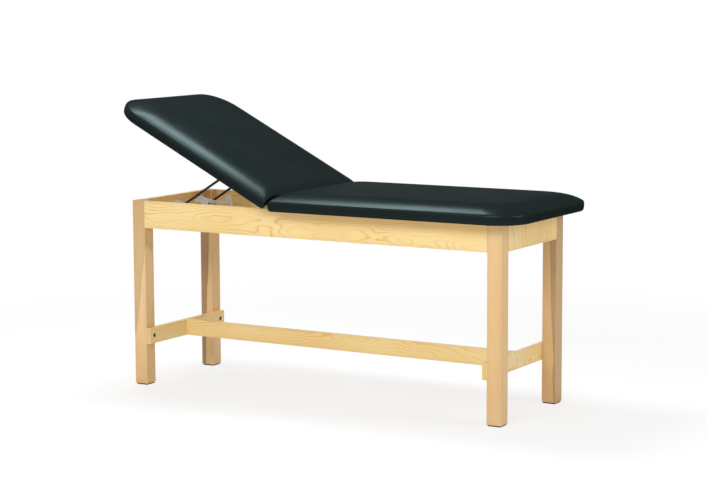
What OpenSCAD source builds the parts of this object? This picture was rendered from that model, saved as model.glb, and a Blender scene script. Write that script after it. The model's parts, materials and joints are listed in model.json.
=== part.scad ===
// Treatment table: a hardwood frame with a two-part padded top. The head part is a backrest that is
// raised on a hinge and propped by a bail whose crossbar catches in two toothed plates.
// X runs from the head end to the foot end, Y across the table and Z up from the floor.
// The origin is on the floor, in the middle of the table as it stands with its backrest propped.

/* [Top] */
// How far the flat backrest reaches past the head-end legs
head_overhang = 115; // [95:1:135]
// Width of the top
top_width = 686; // [640:1:740]
// Length of the backrest, from the hinge line to the head end
back_length = 793; // [780:1:820]
// How far the top reaches past the foot-end legs
foot_overhang = 94; // [70:1:120]
// Thickness of the padded top along its edges, without the cover's fold
pad_thickness = 58; // [52:1:66]
// Rise of the padding from its rounded edge to the middle
crown = 4; // [0:0.5:8]
// Width of the rounded upper edge of the padding
edge_round = 60; // [50:1:75]
// Height of the widest line of the padding's side above the board's underside
side_z = 22; // [20:1:26]
// How far the padding's side is drawn in below its widest line
side_in = 2; // [0:0.5:4]
// Radius of the lower edge of the padding's side
bottom_r = 9; // [6:0.5:11]
// Corner radius at the two outer ends, seen from above
end_corner_r = 125; // [90:1:150]
// Corner radius at the hinge line, seen from above
hinge_corner_r = 20; // [14:1:30]
// Thickness of the plywood boards
board_t = 16; // [13:1:19]
// Thickness of the vinyl covers
cover_t = 1; // [0.6:0.1:1.4]
// Width of the band of cover that is turned under the board
fold_w = 30; // [15:1:40]

/* [Backrest movement] */
// Tilt of the backrest as it stands
tilt = 27; // [24:0.5:30]
// Highest tilt
tilt_max = 45; // [42:0.5:48]
// Tilt from one notch to the next
notch_step = 9; // [7:0.5:11]
// Distance from the hinge line to the bail's pivots, along the backrest
pivot_out = 309; // [295:1:325]
// Distance from the board's underside down to the bail's pivots
pivot_drop = 14.3; // [13:0.1:18]
// Gap between the head-end apron and the crossbar with the backrest flat
park_gap = 14; // [8:1:25]
// Depth of the crossbar's middle below the frame's top as it stands
bar_drop = 44.5; // [42:0.5:47]
// Depth of the crossbar's middle below the frame's top with the backrest flat
bar_drop_flat = 36.5; // [35:0.5:39]

/* [Frame] */
// Length of the frame over the legs
frame_length = 1620; // [1580:1:1660]
// Width of the frame over the legs
frame_width = 517; // [480:1:560]
// Height of the frame's top above the floor
frame_height = 735; // [680:1:800]
// Side of the square legs
leg = 57; // [50:1:64]
// Thickness of aprons, braces and stretcher
rail_t = 19; // [18:0.5:22]
// Height of the aprons
apron_h = 107; // [100:1:125]
// Height of the braces and the stretcher
brace_h = 64; // [55:1:80]
// Height of the braces' lower edge above the floor
brace_z = 166; // [120:1:220]
// Thickness of the rail below the hinge
hinge_rail_t = 38; // [34:1:45]
// Height of the rails that carry the boards
cross_rail_h = 76; // [60:1:90]
// Depth of the grooves that hold the cross rails
groove = 6; // [4:0.5:8]
// Bevel along the edges of the wooden parts
ease = 1.5; // [0.5:0.25:3]

/* [Joints] */
// Length of the tenons
tenon_l = 38; // [30:1:40]
// Thickness of the tenons
tenon_t = 9.5; // [8:0.5:11]
// Shoulder above and below each tenon
tenon_shoulder = 12; // [8:1:20]
// Radius of the frame bolts
bolt_r = 3; // [2.5:0.25:3.5]
// Radius of the frame bolts' flat heads
bolt_head_r = 8; // [7:0.5:9]
// Thickness of the frame bolts' heads
bolt_head_t = 2.5; // [2:0.25:3]
// Reach of the brace bolts into the legs
brace_bolt_in = 24; // [18:1:35]
// Radius of the threaded inserts
insert_r = 5; // [4.5:0.25:6]
// Length of the threaded inserts
insert_l = 15; // [12:1:17]
// Reach of the stretcher bolts into the stretcher
stretcher_bolt_in = 36; // [32:1:50]
// Distance from the stretcher's end to the middle of the barrel nut
nut_in = 25; // [20:1:26]
// Radius of the barrel nuts
nut_r = 5; // [4.5:0.25:6]
// Length of the barrel nuts
nut_l = 14; // [12:0.5:16]

/* [Glides] */
// Side of the square glides
glide = 52; // [40:1:54]
// Thickness of the glides
glide_t = 5; // [4:0.5:8]
// Corner radius of the glides
glide_r = 5; // [2:0.5:10]

/* [Hinge] */
// Distance from the top's sides to the ends of the long hinge
hinge_in = 38; // [30:1:60]
// Number of knuckles on each leaf
knuckles = 10; // [6:1:12]
// Radius of the hinge pin
pin_r = 1.5; // [1.25:0.05:1.75]
// Wall of the knuckles round the pin
knuckle_wall = 2; // [1.75:0.05:2.25]
// Thickness of the hinge leaves
leaf_t = 1.5; // [1.2:0.1:1.6]
// Depth of the hinge leaves below the pin's middle
leaf_h = 18; // [17:0.5:19]
// Number of screws in each leaf
leaf_screws = 9; // [5:1:10]

/* [Prop] */
// Radius of the bail's arms
rod_r = 5; // [4.5:0.25:5.5]
// Radius of the bail's crossbar
bar_r = 6; // [5.75:0.25:6.5]
// Distance of each arm's middle from the table's centre line
arm_y = 105; // [98:1:112]
// Middle radius of the bend at the top of each arm
arm_bend = 14; // [12:0.5:16]
// Distance from the centre line to the inner face of each pivot bracket
bracket_y = 126; // [125:0.5:132]
// Thickness of the steel brackets and toothed plates
steel_t = 3; // [2:0.25:4]
// Inner bend radius of brackets and plates
bend_r = 1.5; // [1:0.25:2.5]
// Width of the flanges of brackets and plates
flange_w = 24; // [22:1:30]
// Length of the pivot brackets' flanges
bracket_l = 46; // [42:1:60]
// Radius of the rounded ear of the pivot brackets
ear_r = 12; // [11:0.5:13]
// Outer radius of the bushes
bush_r = 7; // [6.75:0.25:8]
// Distance from the centre line to the inner face of each toothed plate
plate_y = 82; // [76:1:88]
// Distance from the head-end legs to the toothed plates
plate_gap = 1.4; // [0.5:0.1:4]
// Depth of the notches
notch_depth = 4.5; // [3:0.5:6]
// Depth of the plates' raised tab below the frame's top
tab_drop = 2; // [1:0.5:4]
// Depth of the plates' front hook below the frame's top
hook_drop = 11; // [8:0.5:14]
// Depth of the plates' saddle below the frame's top
saddle_drop = 25; // [22:0.5:26]
// Length of the raised tab
tab_l = 28; // [24:1:34]

/* [Fixings] */
// Radius of the wood screws
screw_r = 2; // [1.75:0.25:2.25]
// Radius of the wood screws' heads
screw_head_r = 4; // [3.5:0.25:4.5]
// Thickness of the wood screws' heads
screw_head_t = 1.6; // [1.2:0.1:2]
// Length of the wood screws below the head
screw_l = 15; // [13:0.5:16]
// Radius of the hinge screws
small_screw_r = 1.5; // [1.25:0.05:1.6]
// Length of the hinge screws below the head
small_screw_l = 14; // [10:1:18]
// Leg length of the brackets that hold the seat board
corner_bracket = 30; // [26:1:40]
// Width of the brackets that hold the seat board
corner_bracket_w = 20; // [16:1:26]
// Number of those brackets along each side
corner_brackets = 3; // [2:1:4]

/* [Hidden] */
$fn = 48;

// Running clearance round pins and bolts
run_gap = 0.05;
// Gap that glue fills in a wooden joint
glue_gap = 0.1;
// Gap between a board and its foam, and between foam and cover
foam_gap = 0.2;
// Height at which the flat backrest clears the frame
rest_gap = 0.3;
// Gap between neighbouring knuckles
knuckle_gap = 0.5;
// Overlap of a leaf with its own knuckles
leaf_bite = 0.5;
// Gap between a leaf's edge and the other leaf's knuckles
leaf_clear = 0.7;
// Height of the knuckles above the board's upper face
knuckle_lift = 0.5;
// Clearance between the crossbar and the edges of its slot
slot_gap = 0.5;
// Width of the steel left beyond the closed end of the slot
slot_web = 7;
// Overrun of every cut
cut = 1;
// Smallest corner radius of a ring of the padding
ring_r = 2;
// Half the width of the flat ridge in the middle of the padding
ridge = 8;
// Steps round an outer corner and a hinge corner of the padding
end_steps = 9;
hinge_steps = 3;
// Shares of the way from the rounded edge to the ridge at which the crown has rings
crown_shares = [0.12, 0.35, 0.65, 1];
// Share of the seat's length, from the hinge, at which the middle rail stands
middle_rail_share = 0.5;
// Depth of the recess for a brace bolt's head beyond its thickness
recess_gap = 0.5;
// Length of a bail stub beyond its bracket
stub_out = 7;
// Thickness and extra radius of the bushes' collars and of the clips
collar_t = 1.2;
collar_w = 2;
// Length of a bush beyond its bracket
bush_out = 1;
// Gap between a bail clip and its bush
clip_gap = 0.3;
// Gap of a pressed fit
press_gap = 0.02;
// Length of the crossbar beyond the arms
bar_out = 6;
// Bevel of the corners of a toothed plate
plate_bevel = 5;
// Distance from a plate's front end to the slope behind its hook
hook_l = 33;
// Length and height of the ramp at the front of the hook
ramp_l = 26;
ramp_h = 19;
// Length of the level saddle beside the raised tab
saddle_l = 61;
// Radius of the hole in the raised tab, and its depth below the tab's top
tab_hole_r = 4;
tab_hole_drop = 12;
// Radius and depth of the hexagon socket in a frame bolt
socket_r = 2.3;
socket_d = 1.5;
// Width and depth of the slot in a barrel nut's face
nut_slot_w = 1.4;
nut_slot_d = 1.2;
// Distance of a screw's middle from the end of a flange
screw_in = 9;
// Radius and thickness of the hinge screws' heads
small_head_r = 3;
small_head_t = 0.8;
// Depth of the hinge screws below the pin
leaf_screw_drop = 11;
// Distance of the first hinge screw from the leaf's end
leaf_screw_in = 25;
// Depth of the recess in a glide for its screw
glide_recess = 3;

// Places that follow from the sizes above
half_w = top_width / 2;
frame_y = frame_width / 2;
inner_y = frame_y - rail_t;
foot_end = frame_length + foot_overhang;
hinge_x = back_length - head_overhang;
seat_length = foot_end - hinge_x;
board_inset = side_in + bottom_r + foam_gap;
hinge_length = top_width - 2 * hinge_in;
knuckle_r = pin_r + knuckle_wall;
hinge_rise = board_t + knuckle_lift + knuckle_r;
hinge_z = frame_height + hinge_rise;
leaf_in = knuckle_r - leaf_bite;
board_gap = leaf_in + leaf_t;
cover_gap = board_gap - cover_t - foam_gap;
knuckle_pitch = hinge_length / (2 * knuckles);
back_low = rest_gap - hinge_rise;
pivot_w = back_low - pivot_drop;
brace_mid = brace_z + brace_h / 2;
screw_reach = screw_l - steel_t;
tenon_z = frame_height - apron_h + tenon_shoulder;
tenon_h = apron_h - 2 * tenon_shoulder;
tenon_y = (rail_t - tenon_t) / 2;
fold_end = side_in + bottom_r + fold_w;

// Where the bail's pivot lies at a tilt, as [x, z]
function pivot_at(a) = [
  hinge_x - pivot_out * cos(a) + pivot_w * sin(a),
  hinge_z + pivot_out * sin(a) + pivot_w * cos(a)
];
// The crossbar's place with the backrest flat, which sets the bail's length and its slopes
park = [rail_t + park_gap + bar_r, frame_height - bar_drop_flat];
bail_length = norm(pivot_at(0) - park);
slope_flat = asin((pivot_at(0)[1] - park[1]) / bail_length);
slope = asin((pivot_at(tilt)[1] - frame_height + bar_drop) / bail_length);
slope_rate = (slope - slope_flat) / tilt;
// Where the crossbar lies at a tilt, as [x, z]
function bar_at(a) =
  let (s = slope_flat + slope_rate * a) pivot_at(a) - bail_length * [cos(s), sin(s)];

// The ends of the toothed plates and the top of the board that carries them
slot_right = bar_at(tilt_max)[0] + bar_r + slot_gap;
plate_right = slot_right + slot_web;
plate_left = leg + plate_gap;
plate_l = plate_right - plate_left;
rail_top = frame_height - cross_rail_h;
plate_screw_xs = [plate_left + screw_in, (plate_left + plate_right) / 2, plate_right - screw_in];
// The cross rails as [left end, bottom, width, height]
ratchet_rail_at = [plate_left, rail_top - rail_t, plate_l, rail_t];
hinge_rail_at = [hinge_x - hinge_rail_t / 2, rail_top, hinge_rail_t, cross_rail_h];
middle_rail_at = [hinge_x + middle_rail_share * seat_length, rail_top, rail_t, cross_rail_h];
// The middles of the seat board's brackets, between the hinge rail and the foot-end legs
bracket_start = hinge_x + hinge_rail_t / 2;
bracket_step = (frame_length - leg - bracket_start) / corner_brackets;
corner_bracket_xs = [for (k = [0 : corner_brackets - 1]) bracket_start + (k + 0.5) * bracket_step];
corner_screw_y = rail_t + corner_bracket - screw_in;
// The screws of a hinge leaf and of a pivot bracket
leaf_screw_ys = [for (k = [0 : leaf_screws - 1])
  (k / (leaf_screws - 1) - 0.5) * (hinge_length - 2 * leaf_screw_in)];
bracket_screw_xs = [pivot_out - bracket_l / 2 + screw_in, pivot_out + bracket_l / 2 - screw_in];
flange_screw_y = flange_w - screw_in;

// Points of an arc
function arc(c, r, from, to, steps) =
  [for (k = [0 : steps]) let (a = from + (to - from) * k / steps) c + r * [cos(a), sin(a)]];
// A rectangle with its own corner radius at each end in X, counter-clockwise
function round_rect(xa, xb, y, ra, rb) = concat(
  arc([xb - rb, y - rb], rb, 0, 90, end_steps),
  arc([xa + ra, y - ra], ra, 90, 180, hinge_steps),
  arc([xa + ra, ra - y], ra, 180, 270, hinge_steps),
  arc([xb - rb, rb - y], rb, 270, 360, end_steps)
);
// A pad's outline, drawn in by an inset. X counts outwards from the hinge line
function pad_outline(length, inset) = round_rect(
  cover_gap + inset, length - inset, half_w - inset,
  max(hinge_corner_r - inset, ring_r), max(end_corner_r - inset, ring_r)
);
// A board's outline, grown by a gap
function board_outline(length, gap) = round_rect(
  board_gap - gap, length - board_inset + gap, half_w - board_inset + gap,
  hinge_corner_r, end_corner_r - board_inset
);
// A pad's side and top as [inset, height], t inside the outer face, from the lower edge to the ridge
function pad_profile(t) = concat(
  [for (a = [0 : 30 : 90]) [side_in + bottom_r - (bottom_r - t) * sin(a),
                            bottom_r - cover_t - (bottom_r - t) * cos(a)]],
  [for (a = [0 : 15 : 90]) [edge_round - (edge_round - t) * cos(a),
                            side_z + (pad_thickness - side_z - t) * sin(a)]],
  [for (u = crown_shares) [edge_round + u * (half_w - ridge - edge_round),
                           pad_thickness - t + crown * (1 - cos(180 * u)) / 2]]
);
// The cover's section: up its inner face from the ridge to the fold, and back up its outer face
function cover_profile() = concat(
  reverse(pad_profile(cover_t)), [[fold_end, 0], [fold_end, -cover_t]], pad_profile(0)
);
function reverse(list) = [for (k = [len(list) - 1 : -1 : 0]) list[k]];

// The farthest reach of the propped backrest from the hinge line, and the middle of the table
head_reach = max([for (p = pad_profile(0))
  (back_length - p[0]) * cos(tilt) - (p[1] + back_low) * sin(tilt)]);
middle_x = (hinge_x - head_reach + foot_end) / 2;
echo(bail_ratio = -1 - slope_rate, pivot = pivot_at(tilt) - [middle_x, 0], slope = slope,
     bar = bar_at(tilt) - [middle_x, 0], hinge = [hinge_x - middle_x, hinge_z],
     leg_x = [leg / 2 - middle_x, frame_length - leg / 2 - middle_x], leg_y = frame_y - leg / 2);

// Placing: in_frame moves the frame's head end to its place left of the origin
module in_frame() translate([-middle_x, 0, 0]) children();
module at_hinge() in_frame() translate([hinge_x, 0, hinge_z]) children();
module on_seat() at_hinge() translate([0, 0, -hinge_rise]) children();
// On the propped backrest, with X outwards from the hinge line and Z from the pin or the board
module on_leaf() at_hinge() rotate([0, tilt, 0]) mirror([1, 0, 0]) children();
module on_back() on_leaf() translate([0, 0, back_low]) children();
// On the bail, with X along its arms towards the pivots
module on_bail() in_frame()
  translate([pivot_at(tilt)[0], 0, pivot_at(tilt)[1]]) rotate([0, -slope, 0]) children();
module on_side(near) mirror([0, near ? 1 : 0, 0]) children();
module both_sides() for (near = [true, false]) on_side(near) children();
// At an end of the frame, with X inwards from the legs' outer faces
module at_end(head) in_frame() translate([head ? 0 : frame_length, 0, 0])
  mirror([head ? 0 : 1, 0, 0]) children();
// At a corner of the frame, with X and Y inwards from the leg's outer corner
module at_corner(head, near) at_end(head) on_side(near) translate([0, frame_y, 0])
  mirror([0, 1, 0]) children();
module at_corners() for (head = [true, false]) for (near = [true, false]) at_corner(head, near) children();

// Cylinders along X and Y
module rod_x(r, l) rotate([0, 90, 0]) cylinder(r = r, h = l);
module rod_y(r, l) rotate([-90, 0, 0]) cylinder(r = r, h = l);
// Extrusions along X and Y: the outline's first number is Y or X, its second is Z
module along_x(l) rotate([90, 0, 90]) linear_extrude(l) children();
module along_y(l) translate([0, l, 0]) rotate([90, 0, 0]) linear_extrude(l) children();

module bevelled(w, h) polygon([
  [ease, 0], [w - ease, 0], [w, ease], [w, h - ease],
  [w - ease, h], [ease, h], [0, h - ease], [0, ease]
]);
// A bent strip of steel along X: a flange on the ground and a wall at its inner edge
module bent_strip(l, wall_h) {
  inner = steel_t + bend_r;
  along_x(l) polygon(concat(
    [[flange_w, 0], [flange_w, steel_t]], arc([inner, inner], bend_r, 270, 180, 3),
    [[steel_t, wall_h], [0, wall_h]], arc([inner, inner], inner, 180, 270, 3)
  ));
}
// A screw that points down from the underside of its head
module screw(r, head_r, head_t, l) {
  translate([0, 0, -l]) cylinder(r = r, h = l);
  difference() {
    cylinder(r = head_r, h = head_t);
    translate([0, 0, head_t / 2]) cylinder(r = head_r / 2, h = head_t, $fn = 4);
  }
}
module wood_screw() screw(screw_r, screw_head_r, screw_head_t, screw_l);
module hinge_screw() screw(small_screw_r, small_head_r, small_head_t, small_screw_l);
// A bolt along X from the underside of its socketed head
module frame_bolt(l) {
  rod_x(bolt_r, l);
  difference() {
    translate([-bolt_head_t, 0, 0]) rod_x(bolt_head_r, bolt_head_t);
    translate([-bolt_head_t - cut, 0, 0]) rotate([0, 90, 0])
      cylinder(r = socket_r, h = socket_d + cut, $fn = 6);
  }
}
module bolt_hole(l) rod_x(bolt_r + run_gap, l);
module screw_hole(l) cylinder(r = screw_r + run_gap, h = l);

// Frame
module leg_part(head, near) color("burlywood") at_corner(head, near) difference() {
  translate([0, 0, glide_t]) linear_extrude(frame_height - glide_t) bevelled(leg, leg);
  mortise();
  mirror([1, -1, 0]) mortise();
  translate([leg, leg / 2, brace_mid]) mirror([1, 0, 0]) {
    translate([-cut, 0, 0]) rod_x(insert_r + run_gap, insert_l + cut);
    bolt_hole(brace_bolt_in + cut);
  }
  translate([leg / 2, leg / 2, glide_t - cut]) screw_hole(screw_l + cut);
}
module mortise() translate([leg - tenon_l, tenon_y, tenon_z] - glue_gap * [1, 1, 1])
  cube([tenon_l + cut, tenon_t + 2 * glue_gap, tenon_h + 2 * glue_gap]);

module side_apron(near) color("wheat") at_corner(true, near) difference() {
  union() {
    translate([leg, 0, frame_height - apron_h])
      along_x(frame_length - 2 * leg) bevelled(rail_t, apron_h);
    translate([leg - tenon_l, tenon_y, tenon_z])
      cube([frame_length - 2 * (leg - tenon_l), tenon_t, tenon_h]);
  }
  for (rail = [ratchet_rail_at, hinge_rail_at, middle_rail_at])
    translate([rail[0], rail_t - groove, rail[1]] - glue_gap * [1, 1, 1])
      cube([rail[2] + 2 * glue_gap, groove + cut, rail[3] + 2 * glue_gap]);
  for (x = corner_bracket_xs) translate([x, rail_t + cut, frame_height - corner_bracket + screw_in])
    rotate([90, 0, 0]) screw_hole(screw_reach + 2 * cut);
}
module cross_rail(rail, hole_xs = []) color("burlywood") in_frame() difference() {
  translate([rail[0], -inner_y - groove, rail[1]]) cube([rail[2], 2 * (inner_y + groove), rail[3]]);
  both_sides() for (x = hole_xs) translate([x, plate_y + flange_screw_y, rail[1] + rail[3] - screw_reach - cut])
    screw_hole(screw_reach + 2 * cut);
}
module end_apron(head) color("wheat") at_end(head) {
  translate([0, leg - frame_y, frame_height - apron_h])
    mirror([1, -1, 0]) along_x(frame_width - 2 * leg) bevelled(rail_t, apron_h);
  translate([tenon_y, leg - tenon_l - frame_y, tenon_z])
    cube([tenon_t, frame_width - 2 * (leg - tenon_l), tenon_h]);
}
module end_brace(head) color("wheat") at_end(head) difference() {
  translate([leg, ease - frame_y, brace_z])
    mirror([1, -1, 0]) along_x(frame_width - 2 * ease) bevelled(rail_t, brace_h);
  translate([leg - cut, 0, brace_mid]) bolt_hole(rail_t + 2 * cut);
  both_sides() translate([0, frame_y - leg / 2, brace_mid]) {
    translate([leg - cut, 0, 0]) bolt_hole(rail_t + 2 * cut);
    translate([leg + rail_t - bolt_head_t - recess_gap, 0, 0])
      rod_x(bolt_head_r + recess_gap, bolt_head_t + recess_gap + cut);
  }
}
module stretcher_body() color("wheat") in_frame() difference() {
  translate([leg + rail_t, -rail_t / 2, brace_z])
    along_x(frame_length - 2 * (leg + rail_t)) bevelled(rail_t, brace_h);
  for (side = [0, 1]) translate([side * frame_length, 0, brace_mid]) mirror([side, 0, 0]) {
    translate([leg + rail_t - cut, 0, 0]) bolt_hole(stretcher_bolt_in + 2 * cut);
    translate([leg + rail_t + nut_in, -rail_t / 2 - cut, 0])
      rod_y(nut_r + run_gap, nut_l + recess_gap + cut);
  }
}
module glides() color("black") at_corners() translate([leg / 2, leg / 2, 0]) difference() {
  linear_extrude(glide_t) polygon(round_rect(-glide / 2, glide / 2, glide / 2, glide_r, glide_r));
  translate([0, 0, -cut]) screw_hole(glide_t + 2 * cut);
  translate([0, 0, -cut]) cylinder(r = screw_head_r + recess_gap, h = glide_recess + cut);
}
module glide_screw_set() color("silver") at_corners()
  translate([leg / 2, leg / 2, glide_recess]) mirror([0, 0, 1]) wood_screw();
module brace_bolt_set() color("black") at_corners()
  translate([leg + rail_t - bolt_head_t - recess_gap, leg / 2, brace_mid]) mirror([1, 0, 0])
    frame_bolt(rail_t - bolt_head_t - recess_gap + brace_bolt_in);
module brace_insert_set() color("goldenrod") at_corners()
  translate([leg - insert_l, leg / 2, brace_mid]) difference() {
    rod_x(insert_r, insert_l);
    translate([-cut, 0, 0]) bolt_hole(insert_l + 2 * cut);
  }
module stretcher_bolt_set() color("silver") for (head = [true, false])
  at_end(head) translate([leg, 0, brace_mid]) frame_bolt(rail_t + stretcher_bolt_in);
module barrel_nut_set() color("silver") for (head = [true, false])
  at_end(head) translate([leg + rail_t + nut_in, recess_gap - rail_t / 2, brace_mid]) difference() {
    rod_y(nut_r, nut_l);
    translate([-nut_r - cut, rail_t / 2 - recess_gap, 0]) bolt_hole(2 * (nut_r + cut));
    translate([-nut_r - cut, -cut, -nut_slot_w / 2])
      cube([2 * (nut_r + cut), nut_slot_d + cut, nut_slot_w]);
  }

// Pads
// A closed skin over rings of points, all of one count, that turns its faces outwards
module loft(rings) {
  n = len(rings[0]);
  last = len(rings) - 1;
  corners = [for (j = [0 : last - 1]) for (k = [0 : n - 1])
    [j * n + k, (j + 1) * n + k, (j + 1) * n + (k + 1) % n, j * n + (k + 1) % n]];
  polyhedron(
    points = [for (ring = rings) for (p = ring) p],
    faces = concat(
      [[for (k = [0 : n - 1]) k]],
      [for (c = corners) each [[c[0], c[1], c[2]], [c[0], c[2], c[3]]]],
      [[for (k = [n - 1 : -1 : 0]) last * n + k]]
    )
  );
}
module pad(length, profile) loft([for (p = profile)
  [for (q = pad_outline(length, p[0])) [q[0], q[1], p[1]]]]);
// A board whose underside lies a given height below the hinge pin
module board(length, below) color("tan") difference() {
  linear_extrude(board_t) polygon(board_outline(length, 0));
  for (y = leaf_screw_ys) translate([0, y, below - leaf_screw_drop])
    rod_x(small_screw_r + run_gap, leaf_in + small_screw_l + cut);
  children();
}
module foam(length) color("ivory") difference() {
  pad(length, pad_profile(cover_t + foam_gap));
  translate([0, 0, -cut]) linear_extrude(board_t + foam_gap + cut) polygon(board_outline(length, foam_gap));
}
// The cover is open along the hinge, and it isn't turned under the board there
module cover(length) color("darkslategray") difference() {
  board_y = half_w - board_inset + cut;
  pad(length, cover_profile());
  translate([-cut, -board_y, -cover_t - cut])
    cube([board_gap + 3 * cut, 2 * board_y, cover_t + hinge_rise + knuckle_r + 2 * cut]);
  translate([-cut, -board_y, -cover_t - cut]) cube([cover_gap + board_inset + 2 * cut, 2 * board_y, bottom_r + cut]);
  translate([-cut, -board_y, -cover_t - cut]) cube([cover_gap + fold_end + 2 * cut, 2 * board_y, cover_t + cut]);
}
module seat_board_body() on_seat() board(seat_length, hinge_rise)
  both_sides() for (x = corner_bracket_xs)
    translate([x - hinge_x, frame_y - corner_screw_y, -cut]) screw_hole(screw_reach + 2 * cut);
module back_board_body() on_back() board(back_length, -back_low)
  both_sides() for (x = bracket_screw_xs)
    translate([x, bracket_y + flange_screw_y, -cut]) screw_hole(screw_reach + 2 * cut);

// Hinge. Each leaf has every second knuckle, the second leaf's shifted by one
module leaf(shift) color("silver") difference() {
  union() {
    translate([leaf_in, -hinge_length / 2, -leaf_h])
      cube([leaf_t, hinge_length, leaf_h - knuckle_r - leaf_clear]);
    for (k = [0 : knuckles - 1])
      translate([0, (2 * k + shift) * knuckle_pitch - hinge_length / 2, 0]) {
        rod_y(knuckle_r, knuckle_pitch - knuckle_gap);
        translate([leaf_in, 0, -knuckle_r - leaf_clear])
          cube([leaf_t, knuckle_pitch - knuckle_gap, knuckle_r + leaf_clear]);
      }
  }
  translate([0, -hinge_length / 2 - cut, 0]) rod_y(pin_r + run_gap, hinge_length + 2 * cut);
  for (y = leaf_screw_ys) translate([0, y, -leaf_screw_drop])
    rod_x(small_screw_r + run_gap, board_gap + cut);
}
module leaf_screw_set() color("silver") for (y = leaf_screw_ys)
  translate([leaf_in, y, -leaf_screw_drop]) rotate([0, -90, 0]) hinge_screw();

// Brackets of the seat board
module corner_bracket_set() color("silver") for (near = [true, false]) at_corner(true, near)
  for (x = corner_bracket_xs) translate([x - corner_bracket_w / 2, rail_t, frame_height]) difference() {
    along_x(corner_bracket_w) polygon([
      [0, 0], [corner_bracket, 0], [corner_bracket, -steel_t], [steel_t, -steel_t],
      [steel_t, -corner_bracket], [0, -corner_bracket]
    ]);
    translate([corner_bracket_w / 2, corner_bracket - screw_in, -steel_t - cut]) screw_hole(steel_t + 2 * cut);
    translate([corner_bracket_w / 2, steel_t + cut, screw_in - corner_bracket])
      rotate([90, 0, 0]) screw_hole(steel_t + 2 * cut);
  }
module corner_screw_set() color("silver") for (near = [true, false]) at_corner(true, near)
  for (x = corner_bracket_xs) {
    translate([x, corner_screw_y, frame_height - steel_t]) mirror([0, 0, 1]) wood_screw();
    translate([x, rail_t + steel_t, frame_height - corner_bracket + screw_in])
      rotate([-90, 0, 0]) wood_screw();
  }

// Toothed plates: the slot's lower edge has a notch for each tilt at which the backrest is propped
function notch_at(a) = notch_depth * abs(cos(180 * (a - tilt) / notch_step));
slot_step = notch_step / 8;
slot_tilts = [for (a = [0 : slot_step : tilt_max]) a];
module slot_outline() polygon(concat(
  [for (a = slot_tilts) bar_at(a) - [0, bar_r + slot_gap + notch_at(a)]],
  [[slot_right, bar_at(tilt_max)[1] - bar_r - slot_gap - notch_at(tilt_max)],
   [slot_right, bar_at(tilt_max)[1] + bar_r + 2 * slot_gap]],
  [for (a = reverse(slot_tilts)) bar_at(a) + [0, bar_r + 2 * slot_gap]]
));
module plate_outline() {
  tab_left = plate_right - tab_l;
  tab_top = frame_height - tab_drop;
  hook_top = frame_height - hook_drop;
  saddle = frame_height - saddle_drop;
  difference() {
    polygon([
      [plate_left, rail_top], [plate_right, rail_top], [plate_right, tab_top - plate_bevel],
      [plate_right - plate_bevel, tab_top], [tab_left + plate_bevel, tab_top],
      [tab_left, tab_top - plate_bevel], [tab_left, saddle], [tab_left - saddle_l, saddle],
      [plate_left + hook_l, hook_top], [plate_left + ramp_l, hook_top], [plate_left, hook_top - ramp_h]
    ]);
    slot_outline();
    translate([plate_right - tab_l / 2, tab_top - tab_hole_drop]) circle(tab_hole_r);
  }
}
module toothed_plate(near) color("silver") in_frame() on_side(near) difference() {
  intersection() {
    translate([plate_left, plate_y, rail_top]) bent_strip(plate_l, cross_rail_h);
    translate([0, plate_y - cut, 0]) along_y(flange_w + 2 * cut) plate_outline();
  }
  for (x = plate_screw_xs) translate([x, plate_y + flange_screw_y, rail_top - cut])
    screw_hole(steel_t + 2 * cut);
}
module plate_screw_set() color("silver") in_frame() both_sides() for (x = plate_screw_xs)
  translate([x, plate_y + flange_screw_y, rail_top + steel_t]) wood_screw();

// Bail and its brackets
module pivot_bracket(near) color("silver") on_back() on_side(near) difference() {
  intersection() {
    translate([pivot_out - bracket_l / 2, bracket_y, 0]) mirror([0, 0, 1])
      bent_strip(bracket_l, pivot_drop + ear_r);
    translate([pivot_out, bracket_y - cut, 0]) along_y(flange_w + 2 * cut) {
      translate([-bracket_l / 2, -steel_t - bend_r]) square([bracket_l, steel_t + bend_r]);
      translate([-ear_r, -pivot_drop]) square([2 * ear_r, pivot_drop]);
      translate([0, -pivot_drop]) circle(ear_r);
    }
  }
  translate([pivot_out, bracket_y - cut, -pivot_drop]) rod_y(bush_r + press_gap, steel_t + 2 * cut);
  for (x = bracket_screw_xs) translate([x, bracket_y + flange_screw_y, -steel_t - cut])
    screw_hole(steel_t + 2 * cut);
}
module bracket_screw_set() color("silver") on_back() both_sides() for (x = bracket_screw_xs)
  translate([x, bracket_y + flange_screw_y, -steel_t]) mirror([0, 0, 1]) wood_screw();
module bush_set() color("whitesmoke") on_back() both_sides()
  translate([pivot_out, bracket_y, -pivot_drop]) difference() {
    union() {
      rod_y(bush_r, steel_t + bush_out);
      translate([0, -collar_t, 0]) rod_y(bush_r + collar_w, collar_t);
    }
    translate([0, -collar_t - cut, 0]) rod_y(rod_r + run_gap, collar_t + steel_t + bush_out + 2 * cut);
  }
module bail_arm(near) color("black") on_bail() on_side(near) difference() {
  union() {
    translate([-bail_length, arm_y, 0]) rod_x(rod_r, bail_length - arm_bend);
    translate([-arm_bend, arm_y + arm_bend, 0]) rotate([0, 0, -90])
      rotate_extrude(angle = 90) translate([arm_bend, 0]) circle(rod_r);
    translate([0, arm_y + arm_bend, 0])
      rod_y(rod_r, bracket_y + steel_t + stub_out - arm_y - arm_bend);
  }
  translate([-bail_length, 0, 0]) rod_y(bar_r, 2 * arm_y);
}
module crossbar() color("black") on_bail()
  translate([-bail_length, -arm_y - rod_r - bar_out, 0]) rod_y(bar_r, 2 * (arm_y + rod_r + bar_out));
module clip_set() color("dimgray") on_bail() both_sides()
  translate([0, bracket_y + steel_t + bush_out + clip_gap, 0]) difference() {
    rod_y(rod_r + collar_w, collar_t);
    translate([0, -cut, 0]) rod_y(rod_r + press_gap, collar_t + 2 * cut);
  }

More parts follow.
